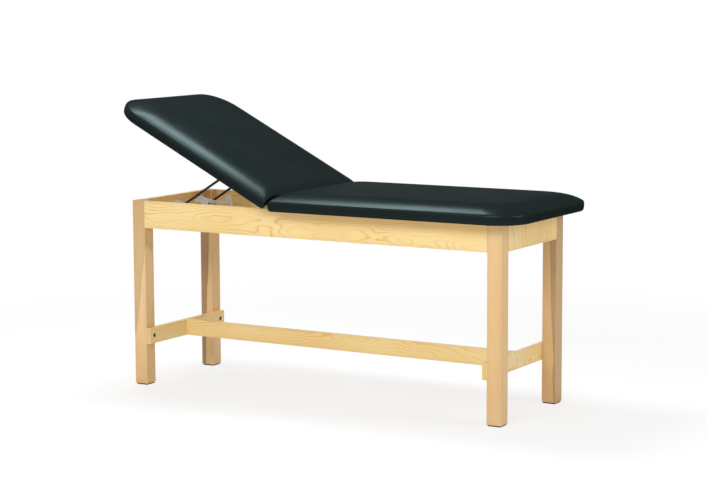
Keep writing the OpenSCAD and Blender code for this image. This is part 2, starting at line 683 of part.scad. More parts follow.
module leg_head_near() leg_part(true, true);
module leg_head_far() leg_part(true, false);
module leg_foot_near() leg_part(false, true);
module leg_foot_far() leg_part(false, false);
module side_apron_near() side_apron(true);
module side_apron_far() side_apron(false);
module end_apron_head() end_apron(true);
module end_apron_foot() end_apron(false);
module end_brace_head() end_brace(true);
module end_brace_foot() end_brace(false);
module stretcher() stretcher_body();
module hinge_rail() cross_rail(hinge_rail_at);
module middle_rail() cross_rail(middle_rail_at);
module ratchet_rail() cross_rail(ratchet_rail_at, plate_screw_xs);
module leg_glides() glides();
module glide_screws() glide_screw_set();
module brace_bolts() brace_bolt_set();
module brace_inserts() brace_insert_set();
module stretcher_bolts() stretcher_bolt_set();
module barrel_nuts() barrel_nut_set();
module seat_board() seat_board_body();
module seat_foam() on_seat() foam(seat_length);
module seat_cover() on_seat() cover(seat_length);
module seat_brackets() corner_bracket_set();
module seat_bracket_screws() corner_screw_set();
module hinge_leaf_seat() at_hinge() leaf(0);
module hinge_screws_seat() at_hinge() leaf_screw_set();
module hinge_pin() color("silver") at_hinge()
  translate([0, -hinge_length / 2, 0]) rod_y(pin_r, hinge_length - knuckle_gap);
module ratchet_plate_near() toothed_plate(true);
module ratchet_plate_far() toothed_plate(false);
module ratchet_screws() plate_screw_set();
module back_board() back_board_body();
module back_foam() on_back() foam(back_length);
module back_cover() on_back() cover(back_length);
module hinge_leaf_back() on_leaf() leaf(1);
module hinge_screws_back() on_leaf() leaf_screw_set();
module pivot_bracket_near() pivot_bracket(true);
module pivot_bracket_far() pivot_bracket(false);
module pivot_bracket_screws() bracket_screw_set();
module bail_bushes() bush_set();
module bail_arm_near() bail_arm(true);
module bail_arm_far() bail_arm(false);
module bail_crossbar() crossbar();
module bail_clips() clip_set();

leg_head_near();
leg_head_far();
leg_foot_near();
leg_foot_far();
side_apron_near();
side_apron_far();
end_apron_head();
end_apron_foot();
end_brace_head();
end_brace_foot();
stretcher();
hinge_rail();
middle_rail();
ratchet_rail();
leg_glides();
glide_screws();
brace_bolts();
brace_inserts();
stretcher_bolts();
barrel_nuts();
seat_board();
seat_foam();
seat_cover();
seat_brackets();
seat_bracket_screws();
hinge_leaf_seat();
hinge_screws_seat();
hinge_pin();
ratchet_plate_near();
ratchet_plate_far();
ratchet_screws();
back_board();
back_foam();
back_cover();
hinge_leaf_back();
hinge_screws_back();
pivot_bracket_near();
pivot_bracket_far();
pivot_bracket_screws();
bail_bushes();
bail_arm_near();
bail_arm_far();
bail_crossbar();
bail_clips();
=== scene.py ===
"""A hardwood treatment table: padded seat and hinged backrest, bail prop in toothed plates, H-brace."""
import json
import math

import bmesh
import bpy
from mathutils import Matrix, Vector
from mathutils.bvhtree import BVHTree


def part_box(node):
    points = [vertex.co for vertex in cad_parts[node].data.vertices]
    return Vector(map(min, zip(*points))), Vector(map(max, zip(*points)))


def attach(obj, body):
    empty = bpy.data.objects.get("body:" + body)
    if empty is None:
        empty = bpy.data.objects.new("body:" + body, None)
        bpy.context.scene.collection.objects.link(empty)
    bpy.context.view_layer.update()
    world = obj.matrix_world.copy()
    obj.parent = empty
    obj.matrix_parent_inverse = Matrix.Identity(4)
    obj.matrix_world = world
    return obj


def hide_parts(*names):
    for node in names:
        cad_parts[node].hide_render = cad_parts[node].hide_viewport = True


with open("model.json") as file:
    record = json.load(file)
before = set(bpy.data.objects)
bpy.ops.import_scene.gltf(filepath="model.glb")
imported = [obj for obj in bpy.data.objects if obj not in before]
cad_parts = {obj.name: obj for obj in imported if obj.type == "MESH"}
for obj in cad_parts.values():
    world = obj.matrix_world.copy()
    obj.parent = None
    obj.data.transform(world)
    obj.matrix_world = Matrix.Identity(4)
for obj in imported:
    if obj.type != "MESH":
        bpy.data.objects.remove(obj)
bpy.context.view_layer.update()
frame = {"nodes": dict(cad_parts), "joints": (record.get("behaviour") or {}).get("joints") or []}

bl_info = {
    "name": "Treatment Table",
    "version": (1, 0, 0),
    "blender": (4, 5, 0),
    "location": "View3D > Sidebar > Table",
    "description": "Dresses the joinery, the upholstered top and the prop of a treatment table",
    "category": "Object",
}

NODES = frame["nodes"]
HINGE = Vector(frame["joints"][0]["pos_m"])
SEAT_LOW, SEAT_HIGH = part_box("seat_cover")
BOARD_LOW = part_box("seat_board")[0]
CROWN_RISE = 0.0050  # how far a pad's crown stands above the flat top of its CAD cover

PLYWOOD = ("seat_board", "back_board")
ZINC = (
    "glide_screws", "stretcher_bolts", "barrel_nuts", "seat_brackets", "seat_bracket_screws",
    "hinge_leaf_seat", "hinge_leaf_back", "hinge_pin", "hinge_screws_seat", "hinge_screws_back",
    "ratchet_plate_near", "ratchet_plate_far", "ratchet_screws",
    "pivot_bracket_near", "pivot_bracket_far", "pivot_bracket_screws",
)
BLACK_STEEL = ("brace_bolts", "bail_arm_near", "bail_arm_far", "bail_crossbar", "bail_clips")


# ---------------------------------------------------------------- sizes and colours a user may change


def metres(name, description, default, low, high):
    return bpy.props.FloatProperty(
        name=name, description=description, default=default, min=low, max=high, unit="LENGTH")


def paint(name, description, default):
    return bpy.props.FloatVectorProperty(
        name=name, description=description, default=default, min=0.0, max=1.0, size=3, subtype="COLOR")


class TableTopSizes(bpy.types.PropertyGroup):
    backrest_length: metres(
        "Backrest Length", "From the hinge line to the backrest's free end", 0.793, 0.4, 1.0)
    seat_length: metres("Seat Length", "From the hinge line to the foot end", SEAT_HIGH.x - HINGE.x, 0.6, 1.4)
    width: metres("Width", "Across both pads", SEAT_HIGH.y - SEAT_LOW.y, 0.4, 0.9)
    thickness: metres(
        "Thickness", "From the board's underside to the crown of a pad",
        SEAT_HIGH.z - BOARD_LOW.z + CROWN_RISE, 0.04, 0.1)
    shoulder: metres("Shoulder", "Width over which a pad's edge rounds into its top", 0.130, 0.03, 0.2)
    hinge_shoulder: metres("Shoulder at the Hinge", "The same beside the hinge", 0.060, 0.03, 0.1)
    hinge_gap: metres(
        "Gap at the Hinge", "From the hinge line to the face of either pad", 0.0033, 0.002, 0.01)
    outer_corner: metres(
        "Outer Corner Radius", "Seen from above, at the two free ends of the top", 0.125, 0.03, 0.2)
    hinge_corner: metres("Hinge Corner Radius", "Seen from above, beside the hinge", 0.010, 0.005, 0.05)
    tilt: bpy.props.FloatProperty(
        name="Backrest Tilt", description="As the backrest stands at rest",
        default=math.radians(27), min=0.0, max=math.radians(45), unit="ROTATION")


class UpholsterySettings(bpy.types.PropertyGroup):
    voxel: metres(
        "Cloth Grid", "Mesh size of the cover while it is stretched over the foam", 0.006, 0.004, 0.012)
    pressure: bpy.props.FloatProperty(
        name="Foam Pressure", description="How hard the foam pushes the cover out",
        default=4.0, min=0.0, max=12.0)
    steps: bpy.props.IntProperty(
        name="Settling Steps", description="Steps in which the cover settles", default=12, min=5, max=40)
    most_swell: metres("Most Swell", "How far the cover may move from its pattern", 0.0030, 0.0, 0.02)
    smoothing: bpy.props.IntProperty(
        name="Smoothing", description="How often the stretch is evened out between neighbours", default=24,
        min=0, max=60)
    slack: metres(
        "Pattern Allowance", "How much smaller than the finished pad its pattern is", 0.0010, 0.0, 0.02)
    gather_pitch: metres(
        "Gather Pitch", "From one gather to the next round a corner's underside", 0.018, 0.006, 0.03)
    gather_depth: metres("Gather Depth", "How far a gather stands out", 0.0008, 0.0, 0.003)
    staple_pitch: metres("Staple Pitch", "From one staple to the next along the fold", 0.028, 0.015, 0.06)
    vinyl: paint("Vinyl", "Colour of the cover", (0.0025, 0.0045, 0.0042))
    vinyl_worn: paint(
        "Rubbed Vinyl", "Colour of the cover where it is stretched or rubbed", (0.0050, 0.0080, 0.0075))
    sheen: paint("Vinyl Sheen", "Colour of the vinyl's faint gloss", (0.70, 0.97, 1.0))
    gloss: bpy.props.FloatProperty(
        name="Vinyl Roughness", description="From polished to matt", default=0.28, min=0.1, max=0.9,
        subtype="FACTOR")


class WoodSettings(bpy.types.PropertyGroup):
    rail_pale: paint("Rail Pale", "Early wood of the aprons and braces", (0.87, 0.69, 0.35))
    rail_warm: paint("Rail Warm", "Late wood of the aprons and braces", (0.77, 0.47, 0.125))
    leg_pale: paint("Leg Pale", "Early wood of the legs", (0.78, 0.55, 0.28))
    leg_warm: paint("Leg Warm", "Late wood of the legs", (0.64, 0.38, 0.15))
    # brown of the legs' heartwood, also painted as shade on the far head leg
    heart_and_shade: paint("Heartwood", "Brown streaks in the legs", (0.33, 0.19, 0.085))
    ring: metres("Ring Width", "From one growth ring to the next", 0.0075, 0.002, 0.03)
    lacquer: bpy.props.FloatProperty(
        name="Lacquer Roughness", description="From polished to matt", default=0.38, min=0.1, max=0.9,
        subtype="FACTOR")


class HardwareSettings(bpy.types.PropertyGroup):
    zinc: paint("Zinc", "Plated steel", (0.68, 0.78, 0.84))
    black: paint("Black Steel", "Blackened rods and bolts", (0.012, 0.012, 0.012))
    brass: paint("Brass", "Threaded inserts", (0.60, 0.44, 0.17))
    nylon: paint("Nylon", "Bushes of the bail", (0.62, 0.60, 0.55))
    glide: paint("Glides", "Moulded feet", (0.02, 0.02, 0.02))


class StudioSettings(bpy.types.PropertyGroup):
    lens: bpy.props.FloatProperty(
        name="Lens", description="Focal length on a 36 mm sensor, in millimetres", default=101.45,
        min=20.0, max=300.0, unit="CAMERA")
    camera_place: bpy.props.FloatVectorProperty(
        name="Camera Place", description="Where the camera stands", subtype="TRANSLATION", size=3,
        default=(3.8955, -6.5205, 1.5688))
    camera_turn: bpy.props.FloatVectorProperty(
        name="Camera Turn", description="Yaw, pitch and roll of the camera", subtype="EULER", size=3,
        default=(math.radians(30.739), math.radians(-7.343), math.radians(-0.242)))
    overhead: bpy.props.FloatProperty(
        name="Overhead Lamp", description="Power of the soft box above the table", default=72.0, min=0.0,
        max=500.0, unit="POWER")
    side: bpy.props.FloatProperty(
        name="Side Lamp", description="Power of the large soft box before the table", default=142.0, min=0.0,
        max=1000.0, unit="POWER")
    foot: bpy.props.FloatProperty(
        name="Foot Lamp", description="Power of the soft box beyond the foot end", default=48.0, min=0.0,
        max=500.0, unit="POWER")
    ambient: bpy.props.FloatProperty(
        name="Room Light", description="Light that comes from all round", default=0.43, min=0.0, max=2.0)
    floor_reach: metres("Floor Reach", "Half of the floor's side", 30.0, 5.0, 100.0)


# ---------------------------------------------------------------- shader maths


class Value:
    """What a shader socket carries. Python's operators on a number add Math nodes."""

    def __init__(self, finish, socket):
        self.finish = finish
        self.socket = socket

    def __add__(self, other):
        return self.finish.maths("ADD", self, other)

    __radd__ = __add__

    def __sub__(self, other):
        return self.finish.maths("SUBTRACT", self, other)

    def __rsub__(self, other):
        return self.finish.maths("SUBTRACT", other, self)

    def __mul__(self, other):
        return self.finish.maths("MULTIPLY", self, other)

    __rmul__ = __mul__

    def __truediv__(self, other):
        return self.finish.maths("DIVIDE", self, other)

    def __rtruediv__(self, other):
        return self.finish.maths("DIVIDE", other, self)

    def __mod__(self, other):
        return self.finish.maths("FLOORED_MODULO", self, other)

    def __rmod__(self, other):
        return self.finish.maths("FLOORED_MODULO", other, self)

    def __abs__(self):
        return self.finish.maths("ABSOLUTE", self)

    def ease(self, low, high):
        """0 below low, 1 above high, and a smooth step between them."""
        return self.finish.add(
            "ShaderNodeMapRange", {"interpolation_type": "SMOOTHSTEP"},
            {"Value": self, "From Min": low, "From Max": high, "To Min": 0.0, "To Max": 1.0})


class Finish:
    """One finish, written a node at a time. Places are in metres in the table's own frame."""

    def __init__(self, name, kind="materials"):
        self.owner = getattr(bpy.data, kind).new(name)
        self.owner.use_nodes = True
        self.tree = self.owner.node_tree
        self.tree.nodes.clear()
        self.output = "ShaderNodeOutputWorld" if kind == "worlds" else "ShaderNodeOutputMaterial"
        if kind == "materials":
            self.place = self.add("ShaderNodeTexCoord", out="Object")
            self.facing = self.add("ShaderNodeNewGeometry", out="Normal")

    def add(self, kind, settings=None, sockets=None, out=0):
        """Any node, by its type, its settings and the values or links of its sockets."""
        node = self.tree.nodes.new(kind)
        for name, value in (settings or {}).items():
            setattr(node, name, value)
        for name, value in (sockets or {}).items():
            if isinstance(value, Value):
                self.tree.links.new(value.socket, node.inputs[name])
            else:
                node.inputs[name].default_value = value
        return Value(self, node.outputs[out]) if node.outputs else None

    def maths(self, operation, *values):
        return self.add("ShaderNodeMath", {"operation": operation}, dict(enumerate(values)))

    def vector(self, operation, *values, out=0):
        sockets = dict(enumerate(values))
        if operation == "SCALE":
            sockets["Scale"] = sockets.pop(1)
        return self.add("ShaderNodeVectorMath", {"operation": operation}, sockets, out)

    def split(self, vector):
        return [self.add("ShaderNodeSeparateXYZ", None, {0: vector}, axis) for axis in "XYZ"]

    def noise(self, scale, detail=2.0, rough=0.5, place=None, stretch=None, shift=None, out="Fac"):
        place = place or self.place
        if stretch:
            place = self.vector("MULTIPLY", place, stretch)
        if shift:
            place = self.vector("ADD", place, shift)
        return self.add("ShaderNodeTexNoise", None, {
            "Vector": place, "Scale": scale, "Detail": detail, "Roughness": rough}, out)

    def mix(self, factor, first, second):
        """A colour between two. Its sockets go by number, because several of each name exist."""
        colours = {0: factor, 6: solid(first), 7: solid(second)}
        return self.add("ShaderNodeMix", {"data_type": "RGBA"}, colours, 2)

    def bump(self, height, depth, strength):
        return self.add("ShaderNodeBump", None, {"Height": height, "Distance": depth, "Strength": strength})

    def shader(self, **sockets):
        named = {name.replace("_", " ").title().replace("Ior", "IOR"): value
                 for name, value in sockets.items()}
        named["Base Color"] = solid(named["Base Color"])
        return self.add("ShaderNodeBsdfPrincipled", None, named)

    def surface(self, **sockets):
        return self.finished(self.shader(**sockets))

    def finished(self, shader):
        """Puts a shader on the surface, and gives back the material or world."""
        self.add(self.output, None, {"Surface": shader})
        return self.owner


def solid(colour):
    """A colour with its alpha, or a link as it is."""
    return colour if isinstance(colour, Value) else (*colour[:3], 1.0)


def shade(colour, share):
    """The same colour, darker or lighter."""
    return [min(1.0, part * share) for part in colour]


# ---------------------------------------------------------------- finishes

# how a wood's figure and its fibres are drawn out along the grain
FIGURE_STRETCH = 0.42
FIBRE_STRETCH = 0.012
# how far a growth ring strays, in metres
RING_SWAY = 0.075


def along_grain(along, lengthwise, crosswise=1.0):
    """One number for the axis of the grain and another for the two across it."""
    return [lengthwise if axis == along else crosswise for axis in range(3)]


def edge_distance(finish, low, high):
    """How far a point on a squared timber is from its nearest arris."""
    middle = (low + high) / 2
    half = (high - low) / 2
    off = finish.vector("ABSOLUTE", finish.vector("SUBTRACT", finish.place, middle))
    x, y, z = finish.split(finish.vector("SUBTRACT", half, off))
    least = finish.maths("MINIMUM", finish.maths("MINIMUM", x, y), z)
    most = finish.maths("MAXIMUM", finish.maths("MAXIMUM", x, y), z)
    return x + y + z - least - most


def late_wood(finish, own, stretched, along, ring, pith, lean, seed, figure, line):
    """1 in the dark part of each growth ring round a wandering pith, 0 in the pale part."""
    across = along_grain(along, 0.0)
    sway = finish.noise(scale=8.0, rough=0.45, place=stretched, shift=(seed, seed * 0.7, 1.3), out="Color")
    sway = finish.vector("SUBTRACT", sway, (0.5, 0.5, 0.5))
    sway = finish.vector("SCALE", sway, RING_SWAY * figure)
    leaning = finish.vector("SCALE", [lean * part * 0.7 for part in across], finish.split(own)[along])
    spot = finish.vector("ADD", finish.vector("ADD", own, leaning), sway)
    spot = finish.vector("SUBTRACT", spot, pith)
    radius = finish.vector("LENGTH", finish.vector("MULTIPLY", spot, across), out="Value")
    uneven = finish.noise(scale=34.0, detail=3.0, rough=0.6, place=stretched, shift=(3.1, seed, 0.4))
    year = (radius / ring + uneven * 0.55) % 1.0
    late = year.ease(line, 0.92) * (1.0 - year.ease(0.94, 1.0))
    strength = finish.noise(scale=11.0, detail=1.0, place=stretched, shift=(seed, 5.0, 2.0))
    return late * (strength.ease(0.25, 0.75) * 0.75 + 0.25)


def heartwood_and_shade(finish, colour, own, stretched, seed, brown, plane, edge, soft, deep):
    """Stains the wood brown behind a plane, deepest along the edge of the stain: heartwood, and on the far
    head leg partly painted shade.
    """
    side = finish.vector("DOT_PRODUCT", own, plane, out="Value")
    side = side + (finish.noise(scale=14.0, place=stretched, shift=(seed, 9.0, 1.0)) - 0.5) * 0.016
    behind = (side - edge).ease(0.0, soft)
    rim = behind * (1.0 - (side - edge).ease(soft, soft * 3.0))
    colour = finish.mix(behind * deep, colour, brown)
    return finish.mix(rim * deep * 0.5, colour, brown)


def hardwood(name, box, along, pale, warm, wood, pith, lean=0.0, seed=0.0, ring=1.0, figure=1.0, heart_and_shade=None,
             line=0.5):
    """Lacquered hardwood with its grain along one axis. pith is where the tree's middle lies beside the
    timber's own middle, lean how far it drifts per metre, heart_and_shade a brown zone behind a plane
    (heartwood, and on the far head leg partly painted shade), and line where in its year the late wood starts."""
    low, high = box
    finish = Finish(name)
    own = finish.vector("SUBTRACT", finish.place, (low + high) / 2)
    stretched = finish.vector("MULTIPLY", own, along_grain(along, FIGURE_STRETCH))
    drawn = finish.vector("MULTIPLY", own, along_grain(along, FIBRE_STRETCH))
    late = late_wood(finish, own, stretched, along, wood.ring * ring, pith, lean, seed, figure, line)
    fibre = finish.noise(scale=900.0, detail=3.0, rough=0.6, place=drawn, shift=(seed, 0.0, 0.0))
    pores = finish.noise(scale=420.0, place=drawn, shift=(0.0, seed, 4.0)).ease(0.63, 0.74)
    tone = finish.noise(scale=3.0, place=stretched, shift=(seed * 1.9, 0.0, 7.0))

    colour = finish.mix(tone.ease(0.3, 0.7) * 0.55, pale, warm)
    colour = finish.mix(late * 0.75, colour, warm)
    colour = finish.mix(late.ease(0.45, 1.0) * 0.38, colour, [warm[0] * 0.86, warm[1] * 0.70, warm[2] * 0.5])
    # the brown zone: heartwood, and on the far head leg partly painted shade
    if heart_and_shade:
        colour = heartwood_and_shade(finish, colour, own, stretched, seed, wood.heart_and_shade, *heart_and_shade)
    colour = finish.mix(pores * 0.22, colour, shade(warm, 0.45))
    colour = finish.mix(fibre.ease(0.35, 0.65) * 0.10, colour, shade(warm, 0.80))

    # end grain drinks more of the lacquer
    facing_along = finish.vector("DOT_PRODUCT", finish.facing, along_grain(along, 1.0, 0.0), out="Value")
    ends = abs(facing_along).ease(0.7, 0.95)
    colour = finish.mix(ends * 0.38, colour, shade(warm, 0.75))

    # arrises are paler, partly rubbed wear and partly a painted highlight, with a slightly darker band a
    # little way in from each
    near = edge_distance(finish, low, high) + finish.noise(scale=160.0) * 0.0018
    rubbed = 1.0 - near.ease(0.0012, 0.0034)
    darker_band = near.ease(0.002, 0.004) - near.ease(0.006, 0.016)
    colour = finish.mix(rubbed * 0.22, colour, shade(pale, 1.12))
    colour = finish.mix(darker_band * 0.10, colour, shade(warm, 0.6))

    gloss = finish.noise(scale=22.0) * 0.10 + (wood.lacquer - 0.05) + ends * 0.18 + pores * 0.1
    relief = finish.bump(fibre * 0.4 - pores * 0.9, depth=0.00016, strength=0.55)
    return finish.surface(base_color=colour, roughness=gloss, normal=relief, coat_weight=0.08,
                          coat_roughness=0.25, specular_ior_level=0.34)


def plywood(name):
    """Bare birch plywood: veneer on the faces and thin plies at the edges."""
    finish = Finish(name)
    flow = finish.noise(scale=7.0, detail=3.0, stretch=(0.2, 1.0, 1.0))
    band = (flow * 26.0) % 1.0
    lines = band.ease(0.35, 0.95) * (1.0 - band.ease(0.95, 1.0))
    fibre = finish.noise(scale=700.0, detail=3.0, rough=0.6, stretch=(0.02, 1.0, 1.0))
    face = finish.mix(lines * 0.45, (0.66, 0.47, 0.28), (0.49, 0.31, 0.16))
    face = finish.mix(fibre.ease(0.4, 0.7) * 0.25, face, (0.42, 0.27, 0.14))
    height = finish.split(finish.place)[2]
    plies = (height * 620.0 + finish.noise(scale=30.0, detail=1.0) * 0.6) % 1.0
    speck = finish.noise(scale=900.0)
    edge = finish.mix(plies.ease(0.42, 0.58), (0.56, 0.38, 0.21), (0.30, 0.18, 0.09))
    edge = finish.mix(speck.ease(0.5, 0.8) * 0.4, edge, (0.20, 0.12, 0.06))
    upright = abs(finish.split(finish.facing)[2])
    colour = finish.mix(upright.ease(0.5, 0.8), edge, face)
    relief = finish.bump(fibre * 0.5 + speck * 0.5, depth=0.0002, strength=0.6)
    rough = finish.noise(scale=40.0) * 0.15 + 0.62
    return finish.surface(base_color=colour, roughness=rough, normal=relief, specular_ior_level=0.3)


def vinyl(name, upholstery):
    """Satin vinyl with a fine leather grain, a touch paler where it is rubbed. Its gloss is a weak layer of
    its own, a little stronger at a flat angle."""
    finish = Finish(name)
    stray = finish.vector("SCALE", finish.noise(scale=160.0, out="Color"), 0.004)
    cells = finish.add(
        "ShaderNodeTexVoronoi", {"feature": "DISTANCE_TO_EDGE"},
        {"Vector": finish.vector("ADD", finish.place, stray), "Scale": 620.0, "Randomness": 1.0}, "Distance")
    crease = 1.0 - cells.ease(0.0, 0.16)
    pebble = finish.noise(scale=1100.0, rough=0.55)
    cloud = finish.noise(scale=5.0, detail=3.0, rough=0.55)
    rubbed = finish.noise(scale=2.6).ease(0.48, 0.72)
    colour = finish.mix(cloud.ease(0.3, 0.7) * 0.35, upholstery.vinyl, upholstery.vinyl_worn)
    colour = finish.mix(rubbed * 0.20, colour, upholstery.vinyl_worn)
    # the grain's creases are painted darker: painted shade in them
    colour = finish.mix(crease * 0.35, colour, shade(upholstery.vinyl, 0.55))
    rough = (cloud - 0.5) * 0.08 + crease * 0.10 + pebble * 0.06 + (upholstery.gloss - 0.04)
    relief = finish.bump(pebble * 0.4 - crease * 0.6, depth=0.00012, strength=0.45)
    skin = finish.shader(base_color=colour, roughness=rough, normal=relief, specular_ior_level=0.0)
    # the gloss is painted weaker in the creases as well: painted shade on the reflection
    sheen = finish.mix(crease * 0.5, upholstery.sheen, shade(upholstery.sheen, 0.6))
    glaze = finish.shader(base_color=sheen, metallic=1.0, roughness=rough, normal=relief)
    flat = finish.add("ShaderNodeLayerWeight", None, {"Blend": 0.5}, "Facing").ease(0.8, 1.0)
    share = flat * 0.018 + 0.018
    return finish.finished(finish.add("ShaderNodeMixShader", None, {0: share, 1: skin, 2: glaze}))


def zinc_plate(name, hardware):
    """Bright zinc plating with faint spangle, rolling marks and dull spots."""
    finish = Finish(name)
    spangle = finish.noise(scale=240.0, detail=3.0, rough=0.6)
    marks = finish.noise(scale=1.0, stretch=(14.0, 220.0, 900.0))
    dull = finish.noise(scale=38.0, detail=3.0, rough=0.6).ease(0.52, 0.72)
    colour = finish.mix(spangle.ease(0.3, 0.7) * 0.14, hardware.zinc, shade(hardware.zinc, 0.78))
    colour = finish.mix(dull * 0.15, colour, (0.52, 0.52, 0.48))
    rough = spangle * 0.08 + dull * 0.12 + 0.26
    relief = finish.bump(marks * 0.6 + spangle * 0.4, depth=0.00003, strength=0.25)
    return finish.surface(base_color=colour, metallic=0.55, roughness=rough, normal=relief)


def black_oxide(name, hardware):
    """Blackened steel, a little brown where it is handled, with fine scratches."""
    finish = Finish(name)
    rubbed = finish.noise(scale=60.0, detail=3.0, rough=0.6).ease(0.55, 0.75)
    scratch = finish.noise(scale=1.0, stretch=(60.0, 900.0, 300.0)).ease(0.68, 0.74)
    colour = finish.mix(rubbed * 0.5, hardware.black, (0.030, 0.024, 0.018))
    colour = finish.mix(scratch * 0.35, colour, (0.09, 0.09, 0.09))
    rough = finish.noise(scale=300.0) * 0.14 + rubbed * 0.1 + 0.34
    relief = finish.bump(finish.noise(scale=700.0), depth=0.00004, strength=0.4)
    return finish.surface(base_color=colour, metallic=0.35, roughness=rough, normal=relief)


def turned_brass(name, hardware):
    """Plain brass with turning marks and some tarnish."""
    finish = Finish(name)
    tarnish = finish.noise(scale=120.0, detail=3.0, rough=0.6).ease(0.45, 0.75)
    turning = finish.noise(scale=1.0, detail=1.0, stretch=(2600.0, 300.0, 300.0))
    colour = finish.mix(tarnish * 0.5, hardware.brass, (0.28, 0.19, 0.08))
    rough = tarnish * 0.2 + turning * 0.08 + 0.24
    relief = finish.bump(turning, depth=0.00004, strength=0.4)
    return finish.surface(base_color=colour, metallic=1.0, roughness=rough, normal=relief)


def moulded_plastic(name, colour, rough):
    """Moulded plastic with a fine spark-eroded texture and scuffs."""
    finish = Finish(name)
    skin = finish.noise(scale=1600.0, rough=0.6)
    scuff = finish.noise(scale=90.0, detail=4.0, rough=0.65).ease(0.58, 0.75)
    tone = finish.mix(scuff * 0.3, colour, [min(1.0, part * 1.6 + 0.01) for part in colour])
    relief = finish.bump(skin, depth=0.00008, strength=0.5)
    return finish.surface(base_color=tone, roughness=skin * 0.12 + scuff * 0.1 + (rough - 0.06), normal=relief)


def staple_wire(name):
    """Galvanised staple wire."""
    finish = Finish(name)
    tone = finish.noise(scale=500.0)
    colour = finish.mix(tone, (0.50, 0.50, 0.49), (0.68, 0.68, 0.67))
    return finish.surface(base_color=colour, metallic=1.0, roughness=tone * 0.15 + 0.25)


# ---------------------------------------------------------------- pads

# A cover's section round the pad, in metres. An inset is counted from the pad's outline, a height from the
# board's underside. Beside the hinge the cover stops above the knuckles, and each point of the fold has a
# companion there, whose height is counted from the knuckles' top.
KNUCKLE_ROOM = 0.005
RECESS = 0.0038
RECESS_EDGE = ((0.041, 0.0035), (0.0125, 0.0140))
FOLD = (
    ((0.041, -0.0006), (0.0030, -0.0010)),
    ((0.040, -0.0010), (0.0022, -0.0010)),
    ((0.032, -0.0010), (0.0021, -0.0005)),
    ((0.024, -0.0010), (0.0021, -0.0005)),
    ((0.016, -0.0010), (0.0021, -0.0005)),
    ((0.011, -0.0010), (0.0021, -0.0005)),
)
ROLL_RADIUS = 0.009
ROLL_CENTRE = (0.011, 0.008)
ROLL_ANGLES = range(15, 91, 15)
SIDE = ((0.0012, 0.0115), (0.0005, 0.015), (0.0001, 0.019), (0.0, 0.023), (0.0, 0.027), (0.0, 0.030))
CREASE_RADIUS = 0.009
CREASE_FOOT = 0.030
CREASE_SLOPES = (76, 62, 50, 40, 31)
DOME_SHARES = (0.04, 0.09, 0.15, 0.22, 0.30, 0.39, 0.49, 0.60, 0.72, 0.86, 1.0)
CROWN = 0.0015
CROWN_INSETS = (0.135, 0.16, 0.19, 0.225, 0.265)
STRIP_HALF = 0.035      # half of the narrow strip that closes a row
HINGE_SLOPE = 0.44      # how far the pad leans back from the hinge line for each unit of height
SLACK_REACH = 0.03      # the pattern is cut smaller only this far in from the outline
GATHER_LEVEL, GATHER_REACH = 0.002, 0.008

# The cloth is held by the board up to a height, and the finished cover follows it from a height upwards.
HELD_TOP, HELD_DEPTH = 0.016, 0.010
FREE_FROM, FREE_DEPTH = 0.006, 0.012
CLOTH = {
    "quality": 4, "mass": 0.4, "tension_stiffness": 18.0, "compression_stiffness": 12.0,
    "bending_stiffness": 2.0, "use_pressure": True,
}

STAPLE_INSET, STAPLE_LEVEL = 0.027, -0.0012
STAPLE_HALF, STAPLE_WIDE, STAPLE_HIGH, STAPLE_DROP = 0.0050, 0.00060, 0.00055, 0.003


def arc_points(centre, radius, start, end, count):
    """Points on an arc, without the last."""
    for step in range(count):
        angle = math.radians(start + (end - start) * step / count)
        yield centre[0] + radius * math.cos(angle), centre[1] + radius * math.sin(angle)


def run_points(start, end, count):
    """Points on a straight run, without the last."""
    for step in range(count):
        share = step / count
        yield start[0] + (end[0] - start[0]) * share, start[1] + (end[1] - start[1]) * share


def clamped(share):
    return min(1.0, max(0.0, share))


def make_piece(name, mesh):
    """Turns a bmesh into an object of the scene."""
    data = bpy.data.meshes.new(name)
    mesh.to_mesh(data)
    mesh.free()
    piece = bpy.data.objects.new(name, data)
    bpy.context.scene.collection.objects.link(piece)
    return piece


